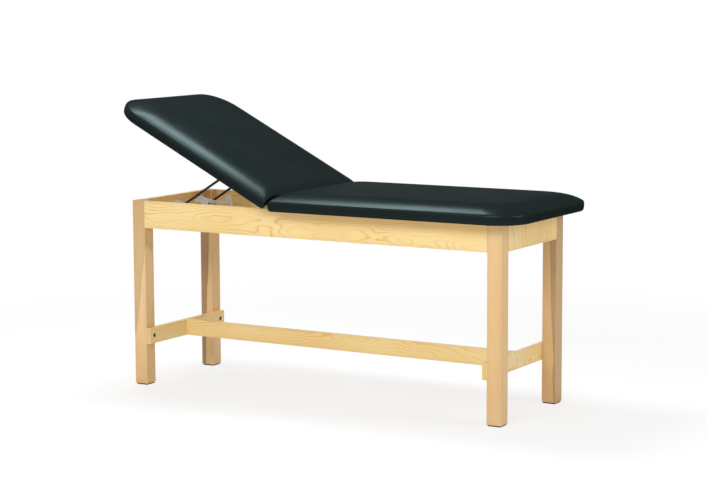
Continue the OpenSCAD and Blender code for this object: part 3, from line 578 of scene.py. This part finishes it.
class PadPattern:
    """A pad's cover as rows of points round it, from the fold under the board up to the crown.
    x runs out from the hinge line, z up from the board's underside."""

    def __init__(self, top, length, upholstery):
        self.gap = top.hinge_gap
        self.length = length
        self.half = top.width / 2
        self.slack = upholstery.slack
        self.thick = top.thickness - self.slack
        self.shoulder = top.shoulder
        self.hinge_pull = top.hinge_shoulder / top.shoulder
        self.outer = top.outer_corner
        self.inner = top.hinge_corner
        self.upholstery = upholstery
        self.counts = (26, 6, int(length / 0.022), 40, 20)
        self.hinge_top = HINGE.z - BOARD_LOW.z + KNUCKLE_ROOM

    def outline(self, inset):
        """(x, y, whether at an outer corner) round the pad, from the hinge's +y end."""
        inset += self.slack * max(0.0, 1.0 - inset / SLACK_REACH)
        x0 = self.gap + min(inset, self.shoulder) * self.hinge_pull + max(0.0, inset - self.shoulder)
        x1 = self.length - inset
        half = self.half - inset
        inner = min(self.inner + inset * 0.45, half * 0.85)
        outer = min(self.outer - inset * 0.25, half * 0.85)
        hinge, small, side, corner, end = self.counts
        runs = (
            (False, run_points((x0, half - inner), (x0, inner - half), hinge)),
            (False, arc_points((x0 + inner, inner - half), inner, 180, 270, small)),
            (False, run_points((x0 + inner, -half), (x1 - outer, -half), side)),
            (True, arc_points((x1 - outer, outer - half), outer, 270, 360, corner)),
            (False, run_points((x1, outer - half), (x1, half - outer), end)),
            (True, arc_points((x1 - outer, half - outer), outer, 0, 90, corner)),
            (False, run_points((x1 - outer, half), (x0 + inner, half), side)),
            (False, arc_points((x0 + inner, half - inner), inner, 90, 180, small)),
        )
        return [(x, y, at_corner) for at_corner, points in runs for x, y in points]

    def profile(self):
        """Pairs of (inset, height): the section round the pad, and its companion beside the hinge."""
        low = self.hinge_top
        pairs = [RECESS_EDGE] + [(point, (inset, low + rise)) for point, (inset, rise) in FOLD]
        for angle in ROLL_ANGLES:
            turn = math.radians(angle)
            inset = ROLL_CENTRE[0] - ROLL_RADIUS * math.sin(turn)
            height = ROLL_CENTRE[1] - ROLL_RADIUS * math.cos(turn)
            pairs.append(((inset, height), (0.002, low + 0.0004 * angle / 15)))
        pairs += [self.beside_hinge(inset, height) for inset, height in SIDE]
        for slope in CREASE_SLOPES:
            turn = math.radians(slope)
            pairs.append(self.beside_hinge(
                CREASE_RADIUS * (1 - math.sin(turn)), CREASE_FOOT + CREASE_RADIUS * math.cos(turn)))
        (inset, foot), _ = pairs[-1]
        reach = self.shoulder - inset
        rise = self.thick - CROWN - foot
        ease = math.tan(turn) * reach / rise
        for share in DOME_SHARES:
            pairs.append(self.beside_hinge(
                self.shoulder - reach * (1 - share), foot + rise * (1 - (1 - share) ** ease)))
        return pairs

    def beside_hinge(self, inset, height):
        """A pair of the profile. Beside the hinge the foam is cut back, clear of the other pad when raised."""
        level = max(height, self.hinge_top + 0.003 + 0.1 * height)
        clear = HINGE_SLOPE * (level - self.hinge_top + KNUCKLE_ROOM) - self.gap + 0.001
        return (inset, height), (max(inset, clear / self.hinge_pull), level)

    def crown(self, x, y):
        """Height of the foam's crown above the top of the rounding."""
        across = min(1.0, abs(y) / (self.half - self.shoulder))
        middle = (self.gap + self.length) / 2
        ahead = min(1.0, abs(x - middle) / ((self.length - self.gap) / 2 - self.shoulder * self.hinge_pull))
        return CROWN * (1 - across ** 2) ** 1.5 * (1 - ahead ** 4) ** 1.5

    def rows(self):
        rows = []
        gather = self.upholstery.gather_depth
        for low, hinge in self.profile():
            row = []
            under = max(0.0, 1.0 - abs(low[1] - GATHER_LEVEL) / GATHER_REACH)
            points = zip(self.outline(low[0]), self.outline(hinge[0]))
            for number, ((x, y, at_corner), (hx, hy, _)) in enumerate(points):
                share = self.hinge_share(number)
                z = low[1] + (hinge[1] - low[1]) * share
                if at_corner:
                    z -= gather * under * self.gather_wave(number)
                row.append((x + (hx - x) * share, y + (hy - y) * share, z))
            rows.append(row)
        level = rows[-1][len(rows[-1]) // 2][2]
        middle = self.half - STRIP_HALF
        for inset in (*CROWN_INSETS, middle):
            rows.append([(x, y, level + self.crown(x, y)) for x, y, _ in self.outline(inset)])
        recess = [[(x, y, RECESS) for x, y, _ in self.outline(inset)] for inset in (middle, 0.2, 0.1)]
        return recess + rows

    def hinge_share(self, number):
        """1 on the hinge run, easing off round the small corners."""
        hinge, small, side, corner, end = self.counts
        total = hinge + 2 * (small + side + corner) + end
        if number < hinge:
            return 1.0 if number else 0.9
        if number < hinge + small:
            return max(0.0, 0.8 - (number - hinge) / small * 1.4)
        if number >= total - small:
            return max(0.0, 0.8 - (total - number) / small * 1.4)
        return 0.0

    def gather_wave(self, number):
        """The gathers round an outer corner, from 0 between two of them to 1 on one."""
        hinge, small, side, corner, end = self.counts
        first = hinge + small + side
        step = number - first if number < first + corner else number - first - corner - end
        arc = self.outer * math.pi / 2
        folds = max(4, round(arc / self.upholstery.gather_pitch))
        envelope = math.sin(math.pi * step / corner) ** 0.5
        return envelope * (0.5 - 0.5 * math.cos(2 * math.pi * folds * step / corner))

    def staple_line(self):
        """The middle of the fold, from one end of the hinge round to the other."""
        points = self.outline(STAPLE_INSET)
        hinge, small = self.counts[:2]
        return [Vector((x, y, STAPLE_LEVEL)) for x, y, _ in points[hinge + small + 1:len(points) - small]]

    def build(self, name, to_table):
        mesh = bmesh.new()
        loops = [[mesh.verts.new(to_table @ Vector(point)) for point in row] for row in self.rows()]
        count = len(loops[0])
        for below, above in zip(loops, loops[1:]):
            for step in range(count):
                after = (step + 1) % count
                mesh.faces.new((below[step], below[after], above[after], above[step]))
        self.close_strip(mesh, loops[-1])
        self.close_strip(mesh, loops[0])
        bmesh.ops.recalc_face_normals(mesh, faces=mesh.faces[:])
        piece = make_piece(name, mesh)
        for face in piece.data.polygons:
            face.use_smooth = True
        return piece

    def close_strip(self, mesh, loop):
        """Closes the narrow middle inside a row with faces across it."""
        hinge, small, side, corner, end = self.counts
        first = hinge + small
        last = first + side + corner
        near = loop[first:last]
        far = list(reversed(loop[last + end + 1:len(loop) - small + 1]))
        for (a, b), (d, c) in zip(zip(near, near[1:]), zip(far, far[1:])):
            mesh.faces.new((a, b, c, d))
        mesh.faces.new(loop[len(loop) - small:] + loop[:first + 1])
        mesh.faces.new(loop[last - 1:last + end + 2])


def settle(piece):
    """Makes the piece's modifiers part of its mesh."""
    graph = bpy.context.evaluated_depsgraph_get()
    shape = bpy.data.meshes.new_from_object(piece.evaluated_get(graph))
    piece.modifiers.clear()
    piece.data = shape


def run_cloth(piece, to_pad, upholstery):
    """Presses the foam into a remeshed copy as cloth. Gives its points, how far each moved, and its faces."""
    scene = bpy.context.scene
    proxy = piece.copy()
    proxy.data = piece.data.copy()
    scene.collection.objects.link(proxy)
    remesh = proxy.modifiers.new("Cloth Grid", "REMESH")
    remesh.mode = "VOXEL"
    remesh.voxel_size = upholstery.voxel
    settle(proxy)
    before = [vertex.co.copy() for vertex in proxy.data.vertices]
    held = proxy.vertex_groups.new(name="Held by the board")
    for vertex in proxy.data.vertices:
        height = (to_pad @ vertex.co).z
        held.add([vertex.index], clamped((HELD_TOP - height) / HELD_DEPTH), "REPLACE")
    cloth = proxy.modifiers.new("Cover", "CLOTH")
    for name, value in CLOTH.items():
        setattr(cloth.settings, name, value)
    cloth.settings.uniform_pressure_force = upholstery.pressure
    cloth.settings.effector_weights.gravity = 0.0
    cloth.settings.vertex_group_mass = held.name
    cloth.collision_settings.use_collision = False
    cloth.point_cache.frame_start = 1
    cloth.point_cache.frame_end = upholstery.steps
    for step in range(1, upholstery.steps + 1):
        scene.frame_set(step)
    settle(proxy)
    scene.frame_set(1)
    moved = [vertex.co - start for vertex, start in zip(proxy.data.vertices, before)]
    faces = [tuple(face.vertices) for face in proxy.data.polygons]
    data = proxy.data
    bpy.data.objects.remove(proxy)
    bpy.data.meshes.remove(data)
    return before, moved, faces


def swell(piece, to_pad, upholstery):
    """Gives the piece the shape that the cloth took, evened out between neighbouring points."""
    before, moved, faces = run_cloth(piece, to_pad, upholstery)
    tree = BVHTree.FromPolygons(before, faces)
    shifts = []
    for vertex in piece.data.vertices:
        spot, _, index, _ = tree.find_nearest(vertex.co)
        height = (to_pad @ vertex.co).z
        weights = [1.0 / ((before[corner] - spot).length + 1e-5) for corner in faces[index]]
        shift = sum((moved[corner] * weight for corner, weight in zip(faces[index], weights)), Vector())
        shift = shift / sum(weights) * clamped((height - FREE_FROM) / FREE_DEPTH)
        shifts.append(shift * upholstery.most_swell / (shift.length + upholstery.most_swell))
    beside = [[] for _ in shifts]
    for edge in piece.data.edges:
        first, second = edge.vertices
        beside[first].append(second)
        beside[second].append(first)
    for _ in range(upholstery.smoothing):
        shifts = [(shift + sum((shifts[other] for other in others), Vector()) / len(others)) / 2
                  for shift, others in zip(shifts, beside)]
    for vertex, shift in zip(piece.data.vertices, shifts):
        vertex.co += shift


def staples(name, pattern, to_table):
    """A row of staples through the fold, each a bent wire pressed flat into the vinyl."""
    path = pattern.staple_line()
    pitch = pattern.upholstery.staple_pitch
    mesh = bmesh.new()
    run = 0.0
    target = pitch / 2
    number = 0
    for start, end in zip(path, path[1:]):
        span = (end - start).length
        while target <= run + span:
            lean = 0.25 * math.sin(number * 2.4) + 0.12 * math.sin(number * 7.1)
            along = Matrix.Rotation(lean, 3, "Z") @ (end - start).normalized()
            add_staple(mesh, start.lerp(end, (target - run) / span), along)
            target += pitch
            number += 1
        run += span
    for vertex in mesh.verts:
        vertex.co = to_table @ vertex.co
    bmesh.ops.recalc_face_normals(mesh, faces=mesh.faces[:])
    return make_piece(name, mesh)


def add_staple(mesh, middle, along):
    """A flat wire crown with its two legs going into the board."""
    side = Vector((-along.y, along.x, 0.0)) * STAPLE_WIDE
    up = Vector((0.0, 0.0, 1.0))
    shoulder = STAPLE_HALF * 0.86
    sections = []
    for reach, drop in ((-STAPLE_HALF, STAPLE_DROP), (-STAPLE_HALF, 0.0), (-shoulder, -STAPLE_HIGH),
                        (shoulder, -STAPLE_HIGH), (STAPLE_HALF, 0.0), (STAPLE_HALF, STAPLE_DROP)):
        on_leg = abs(reach) == STAPLE_HALF
        centre = middle + along * reach + up * drop
        thick = (along if on_leg else up) * (STAPLE_HIGH / 2) * (-1 if reach < 0 and on_leg else 1)
        sections.append([mesh.verts.new(centre + side + thick), mesh.verts.new(centre - side + thick),
                         mesh.verts.new(centre - side - thick), mesh.verts.new(centre + side - thick)])
    for low, high in zip(sections, sections[1:]):
        for corner in range(4):
            after = (corner + 1) % 4
            mesh.faces.new((low[corner], low[after], high[after], high[corner]))
    mesh.faces.new(sections[0])
    mesh.faces.new(list(reversed(sections[-1])))


def shared(name, make, *settings):
    """A finish that several pieces have, made once."""
    return bpy.data.materials.get(name) or make(name, *settings)


def make_pad(name, body, nodes, length, to_table, context):
    """A padded board: the stretched cover with its fold and gathers, and the staples that hold it."""
    upholstery = context.scene.table_upholstery
    pattern = PadPattern(context.scene.table_top, length, upholstery)
    piece = pattern.build(name, to_table)
    swell(piece, to_table.inverted(), upholstery)
    smooth = piece.modifiers.new("Smooth Skin", "SUBSURF")
    smooth.levels = 1
    smooth.render_levels = 1
    piece.data.materials.append(shared("Satin Vinyl", vinyl, upholstery))
    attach(piece, body)
    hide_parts(*nodes)
    wires = staples(name + "_staples", pattern, to_table)
    wires.data.materials.append(shared("Staple Wire", staple_wire))
    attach(wires, body)


# ---------------------------------------------------------------- operators

# each timber's plank: see hardwood()
LEG_PLANKS = {
    "leg_head_near": {"pith": (0.05, -0.09, 0.0), "lean": 0.03, "seed": 2.0,
                      "heart_and_shade": ((-0.988, 0.0, 0.154), -0.0056, 0.004, 0.34)},
    # this leg's brown stain is partly heartwood and partly painted shade
    "leg_head_far": {"pith": (-0.07, -0.05, 0.0), "lean": 0.06, "seed": 11.0,
                     "heart_and_shade": ((-0.99, 0.0, 0.05), -0.010, 0.005, 0.85)},
    "leg_foot_near": {"pith": (0.16, -0.10, 0.0), "lean": -0.04, "seed": 5.0},
    "leg_foot_far": {"pith": (0.06, -0.07, 0.0), "lean": 0.05, "seed": 8.0,
                     "heart_and_shade": ((0.99, 0.0, 0.03), 0.008, 0.004, 0.55)},
}
RAIL_PLANKS = {
    "side_apron_near": {"along": 0, "pith": (0.0, 0.045, -0.02), "lean": 0.05, "seed": 3.0, "ring": 0.9},
    "side_apron_far": {"along": 0, "pith": (0.0, -0.08, 0.03), "lean": -0.03, "seed": 7.0},
    "end_apron_head": {"along": 1, "pith": (0.06, 0.0, 0.05), "lean": 0.03, "seed": 4.0},
    "end_apron_foot": {"along": 2, "pith": (-0.05, 0.30, 0.0), "lean": 0.25, "seed": 9.0, "ring": 4.6,
                       "line": 0.66},
    "hinge_rail": {"along": 1, "pith": (0.05, 0.0, -0.06), "lean": 0.02, "seed": 12.0},
    "middle_rail": {"along": 1, "pith": (0.05, 0.0, 0.07), "lean": 0.02, "seed": 13.0},
    "ratchet_rail": {"along": 1, "pith": (0.07, 0.0, -0.05), "lean": 0.02, "seed": 14.0},
}
BRACE_PLANKS = {
    "end_brace_head": {"along": 1, "pith": (0.06, 0.0, 0.05), "lean": 0.03, "seed": 15.0},
    "end_brace_foot": {"along": 1, "pith": (-0.06, 0.0, -0.04), "lean": 0.03, "seed": 16.0},
    "stretcher": {"along": 0, "pith": (0.0, 0.06, 0.03), "lean": 0.025, "seed": 17.0},
}
# each soft box: its name, the setting of its power, its size, where it hangs and what it is aimed at
LAMPS = (
    ("Overhead Box", "overhead", (1.2, 0.80), (-0.8, 0.30, 3.0), (-0.6, 0.0, 0.8)),
    ("Side Box", "side", (3.8, 1.5), (0.9, -4.4, 3.0), (0.0, 0.0, 0.5)),
    ("Foot Box", "foot", (1.6, 1.6), (4.2, 0.2, 2.2), (0.3, 0.0, 0.5)),
)
# the camera sees the floor this much as pure white near the table, and wholly so beyond the second distance
FLOOR_WHITE = 0.72
FLOOR_FADE = (1.2, 3.2)
BACKREST_LIFT = 0.0003  # of the backrest's board above the hinge's own level


def dress(names, material):
    """Gives CAD nodes their finish."""
    for name in names:
        mesh = NODES[name].data
        mesh.materials.clear()
        mesh.materials.append(material)


def dress_planks(kind, planks, pale, warm, **common):
    """Gives each timber the wood of its own plank."""
    for name, plank in planks.items():
        label = f"{kind} {name.removeprefix('leg_')}"
        dress([name], hardwood(label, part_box(name), pale=pale, warm=warm, **common, **plank))


class TABLE_OT_legs(bpy.types.Operator):
    """Finish the four legs, each cut from its own plank"""

    bl_idname = "table.legs"
    bl_label = "Legs"
    bl_options = {"REGISTER", "UNDO"}

    def execute(self, context):
        wood = context.scene.table_wood
        dress_planks("Leg Wood", LEG_PLANKS, wood.leg_pale, wood.leg_warm, wood=wood, along=2, ring=0.42,
                     figure=0.5)
        return {"FINISHED"}


class TABLE_OT_aprons(bpy.types.Operator):
    """Finish the aprons and the rails inside them"""

    bl_idname = "table.aprons"
    bl_label = "Aprons and Rails"
    bl_options = {"REGISTER", "UNDO"}

    def execute(self, context):
        wood = context.scene.table_wood
        dress_planks("Rail Wood", RAIL_PLANKS, wood.rail_pale, wood.rail_warm, wood=wood)
        return {"FINISHED"}


class TABLE_OT_brace(bpy.types.Operator):
    """Finish the H-brace between the legs"""

    bl_idname = "table.brace"
    bl_label = "H-Brace"
    bl_options = {"REGISTER", "UNDO"}

    def execute(self, context):
        wood = context.scene.table_wood
        dress_planks("Brace Wood", BRACE_PLANKS, wood.rail_pale, wood.rail_warm, wood=wood, ring=0.8)
        return {"FINISHED"}


class TABLE_OT_boards(bpy.types.Operator):
    """Finish the plywood boards under the pads"""

    bl_idname = "table.boards"
    bl_label = "Boards"
    bl_options = {"REGISTER", "UNDO"}

    def execute(self, context):
        dress(PLYWOOD, plywood("Birch Plywood"))
        return {"FINISHED"}


class TABLE_OT_seat(bpy.types.Operator):
    """Upholster the seat"""

    bl_idname = "table.seat"
    bl_label = "Seat Pad"
    bl_options = {"REGISTER", "UNDO"}

    def execute(self, context):
        length = context.scene.table_top.seat_length
        to_table = Matrix.Translation((HINGE.x, 0.0, BOARD_LOW.z))
        make_pad("seat_upholstery", "frame", ("seat_cover", "seat_foam"), length, to_table, context)
        return {"FINISHED"}


class TABLE_OT_backrest(bpy.types.Operator):
    """Upholster the backrest"""

    bl_idname = "table.backrest"
    bl_label = "Backrest Pad"
    bl_options = {"REGISTER", "UNDO"}

    def execute(self, context):
        top = context.scene.table_top
        down = HINGE.z - BOARD_LOW.z - BACKREST_LIFT
        to_table = (
            Matrix.Translation(HINGE)
            @ Matrix.Rotation(top.tilt, 4, "Y")
            @ Matrix.Translation((0.0, 0.0, -down))
            @ Matrix.Rotation(math.pi, 4, "Z")
        )
        make_pad("backrest_upholstery", "backrest", ("back_cover", "back_foam"), top.backrest_length, to_table,
                 context)
        return {"FINISHED"}


class TABLE_OT_hardware(bpy.types.Operator):
    """Finish the hinge, the prop, the bolts, the brackets and the glides"""

    bl_idname = "table.hardware"
    bl_label = "Hardware"
    bl_options = {"REGISTER", "UNDO"}

    def execute(self, context):
        hardware = context.scene.table_hardware
        dress(ZINC, zinc_plate("Zinc Plate", hardware))
        dress(BLACK_STEEL, black_oxide("Black Oxide", hardware))
        dress(["brace_inserts"], turned_brass("Turned Brass", hardware))
        dress(["bail_bushes"], moulded_plastic("Bush Nylon", hardware.nylon, 0.45))
        dress(["leg_glides"], moulded_plastic("Glide Plastic", hardware.glide, 0.5))
        return {"FINISHED"}


class TABLE_OT_studio(bpy.types.Operator):
    """Set the floor, the lamps, the room's light and the camera"""

    bl_idname = "table.studio"
    bl_label = "Studio"
    bl_options = {"REGISTER", "UNDO"}

    def execute(self, context):
        studio = context.scene.table_studio
        context.scene.view_settings.view_transform = "Standard"
        self.lay_floor(studio.floor_reach)
        self.light_room(context.scene, studio.ambient)
        for name, power, size, place, aim in LAMPS:
            self.hang_lamp(name, getattr(studio, power), size, place, aim)
        self.place_camera(context.scene, studio)
        return {"FINISHED"}

    def lay_floor(self, reach):
        finish = Finish("Studio Floor")
        seen = finish.add("ShaderNodeLightPath", out="Is Camera Ray")
        tone = finish.noise(scale=0.4, detail=1.0)
        colour = finish.mix(tone, (0.84, 0.84, 0.84), (0.86, 0.86, 0.86))
        matt = finish.add("ShaderNodeBsdfDiffuse", None, {"Color": colour})
        lit = finish.add("ShaderNodeEmission", None, {"Color": (1.0, 1.0, 1.0, 1.0), "Strength": 1.0})
        away = finish.vector("LENGTH", finish.place, out="Value").ease(*FLOOR_FADE)
        shown = seen * (away * (1.0 - FLOOR_WHITE) + FLOOR_WHITE)
        material = finish.finished(finish.add("ShaderNodeMixShader", None, {0: shown, 1: matt, 2: lit}))
        material.cycles.emission_sampling = "NONE"
        mesh = bmesh.new()
        bmesh.ops.create_grid(mesh, x_segments=8, y_segments=8, size=reach)
        floor = make_piece("studio_floor", mesh)
        floor.data.materials.append(material)

    def light_room(self, scene, ambient):
        """White to the camera and in reflections, and a softer light from all round for the rest."""
        room = Finish("Studio Room", "worlds")
        camera, glossy, through = [room.add("ShaderNodeLightPath", out=ray) for ray in (
            "Is Camera Ray", "Is Glossy Ray", "Is Transmission Ray")]
        shown = room.maths("MAXIMUM", room.maths("MAXIMUM", camera, glossy), through)
        strength = shown * (1.0 - ambient) + ambient
        scene.world = room.finished(room.add(
            "ShaderNodeBackground", None, {"Color": (1.0, 1.0, 1.0, 1.0), "Strength": strength}))

    def hang_lamp(self, name, power, size, place, aim):
        lamp = bpy.data.lights.new(name, "AREA")
        lamp.shape = "RECTANGLE"
        lamp.size, lamp.size_y = size
        lamp.energy = power
        holder = bpy.data.objects.new(name, lamp)
        holder.location = place
        holder.rotation_euler = (Vector(aim) - Vector(place)).to_track_quat("-Z", "Y").to_euler()
        bpy.context.scene.collection.objects.link(holder)

    def place_camera(self, scene, studio):
        yaw, pitch, roll = studio.camera_turn
        lens = bpy.data.cameras.new("Camera")
        lens.sensor_width = 36.0
        lens.lens = studio.lens
        camera = bpy.data.objects.new("Camera", lens)
        camera.matrix_world = (
            Matrix.Translation(studio.camera_place)
            @ Matrix.Rotation(yaw, 4, "Z")
            @ Matrix.Rotation(math.pi / 2 + pitch, 4, "X")
            @ Matrix.Rotation(roll, 4, "Z")
        )
        scene.collection.objects.link(camera)
        scene.camera = camera


class TABLE_PT_pieces(bpy.types.Panel):
    """Sizes, colours and pieces of the treatment table"""

    bl_idname = "TABLE_PT_pieces"
    bl_label = "Treatment Table"
    bl_space_type = "VIEW_3D"
    bl_region_type = "UI"
    bl_category = "Table"

    def draw(self, context):
        layout = self.layout
        for name in SETTINGS:
            group = getattr(context.scene, name)
            column = layout.column(align=True)
            for key in group.__annotations__:
                column.prop(group, key)
        for operator in PIECES:
            layout.operator(operator.bl_idname)


SETTINGS = {
    "table_top": TableTopSizes,
    "table_upholstery": UpholsterySettings,
    "table_wood": WoodSettings,
    "table_hardware": HardwareSettings,
    "table_studio": StudioSettings,
}
PIECES = (
    TABLE_OT_studio, TABLE_OT_legs, TABLE_OT_aprons, TABLE_OT_brace, TABLE_OT_boards, TABLE_OT_seat,
    TABLE_OT_backrest, TABLE_OT_hardware,
)


def register():
    for group in SETTINGS.values():
        bpy.utils.register_class(group)
    for name, group in SETTINGS.items():
        setattr(bpy.types.Scene, name, bpy.props.PointerProperty(type=group))
    for operator in PIECES:
        bpy.utils.register_class(operator)
    bpy.utils.register_class(TABLE_PT_pieces)


def unregister():
    bpy.utils.unregister_class(TABLE_PT_pieces)
    for operator in reversed(PIECES):
        bpy.utils.unregister_class(operator)
    for name, group in SETTINGS.items():
        delattr(bpy.types.Scene, name)
        bpy.utils.unregister_class(group)


def main():
    register()
    bpy.ops.table.studio()
    bpy.ops.table.legs()
    bpy.ops.table.aprons()
    bpy.ops.table.brace()
    bpy.ops.table.boards()
    bpy.ops.table.seat()
    bpy.ops.table.backrest()
    bpy.ops.table.hardware()


if __name__ == "__main__":
    main()
